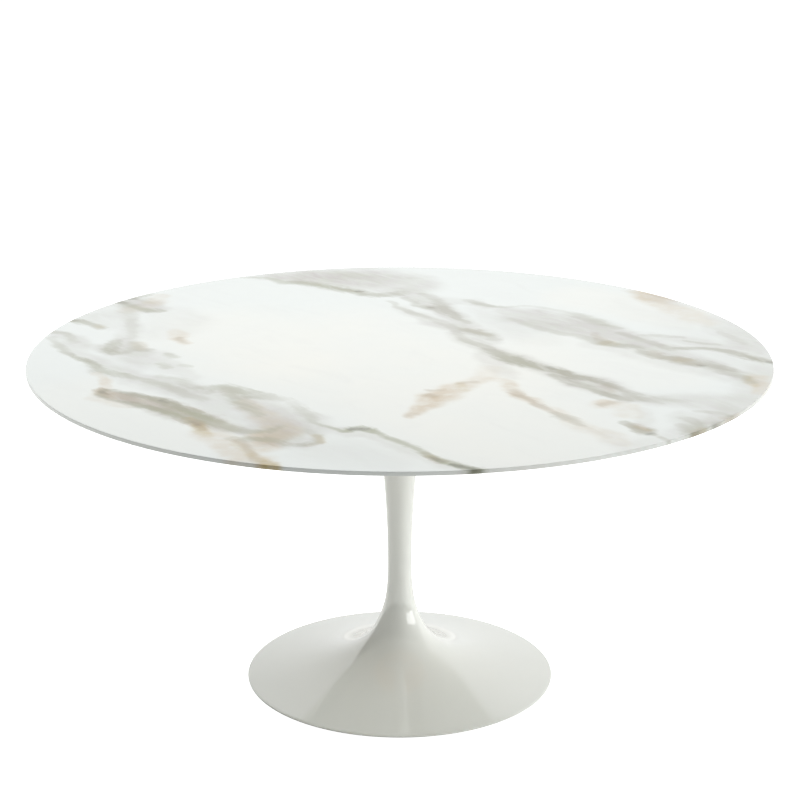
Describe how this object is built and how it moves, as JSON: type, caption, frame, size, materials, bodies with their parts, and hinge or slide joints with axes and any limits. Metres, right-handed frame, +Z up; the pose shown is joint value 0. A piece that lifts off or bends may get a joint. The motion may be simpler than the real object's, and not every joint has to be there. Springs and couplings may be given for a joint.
{
  "type": "round pedestal table",
  "caption": "Round dining table: thin bevelled marble top clamped to a one-piece white trumpet pedestal with a wide round foot.",
  "frame": {"origin": "on the floor at the centre of the foot, on the table's axis", "axes": "+Z up along the table's axis of revolution; +X and +Y along two of the spider's four arms under the top, -Y towards the viewer"},
  "size_m": [1.524, 1.524, 0.7175],
  "materials": {
    "marble": "polished",
    "white_enamel": "gloss",
    "plywood": "matte",
    "cast_aluminium": "satin",
    "zinc_steel": "satin",
    "brass": "satin",
    "ring_rubber": "matte"
  },
  "bodies": {
    "root": {"marble_top": "marble", "backing_board": "plywood", "table_spider": "cast_aluminium", "pedestal": "white_enamel", "floor_ring": "ring_rubber", "tie_rod": "zinc_steel", "clamp_plate": "zinc_steel", "spring_washer": "zinc_steel", "rod_nut": "zinc_steel", "lock_nut": "zinc_steel", "dowel_1": "zinc_steel", "dowel_2": "zinc_steel", "threaded_insert_1": "brass", "threaded_insert_2": "brass", "threaded_insert_3": "brass", "threaded_insert_4": "brass", "threaded_insert_5": "brass", "threaded_insert_6": "brass", "threaded_insert_7": "brass", "threaded_insert_8": "brass", "spider_screw_1": "zinc_steel", "spider_screw_2": "zinc_steel", "spider_screw_3": "zinc_steel", "spider_screw_4": "zinc_steel", "spider_screw_5": "zinc_steel", "spider_screw_6": "zinc_steel", "spider_screw_7": "zinc_steel", "spider_screw_8": "zinc_steel", "spider_washer_1": "zinc_steel", "spider_washer_2": "zinc_steel", "spider_washer_3": "zinc_steel", "spider_washer_4": "zinc_steel", "spider_washer_5": "zinc_steel", "spider_washer_6": "zinc_steel", "spider_washer_7": "zinc_steel", "spider_washer_8": "zinc_steel"}
  },
  "joints": []
}
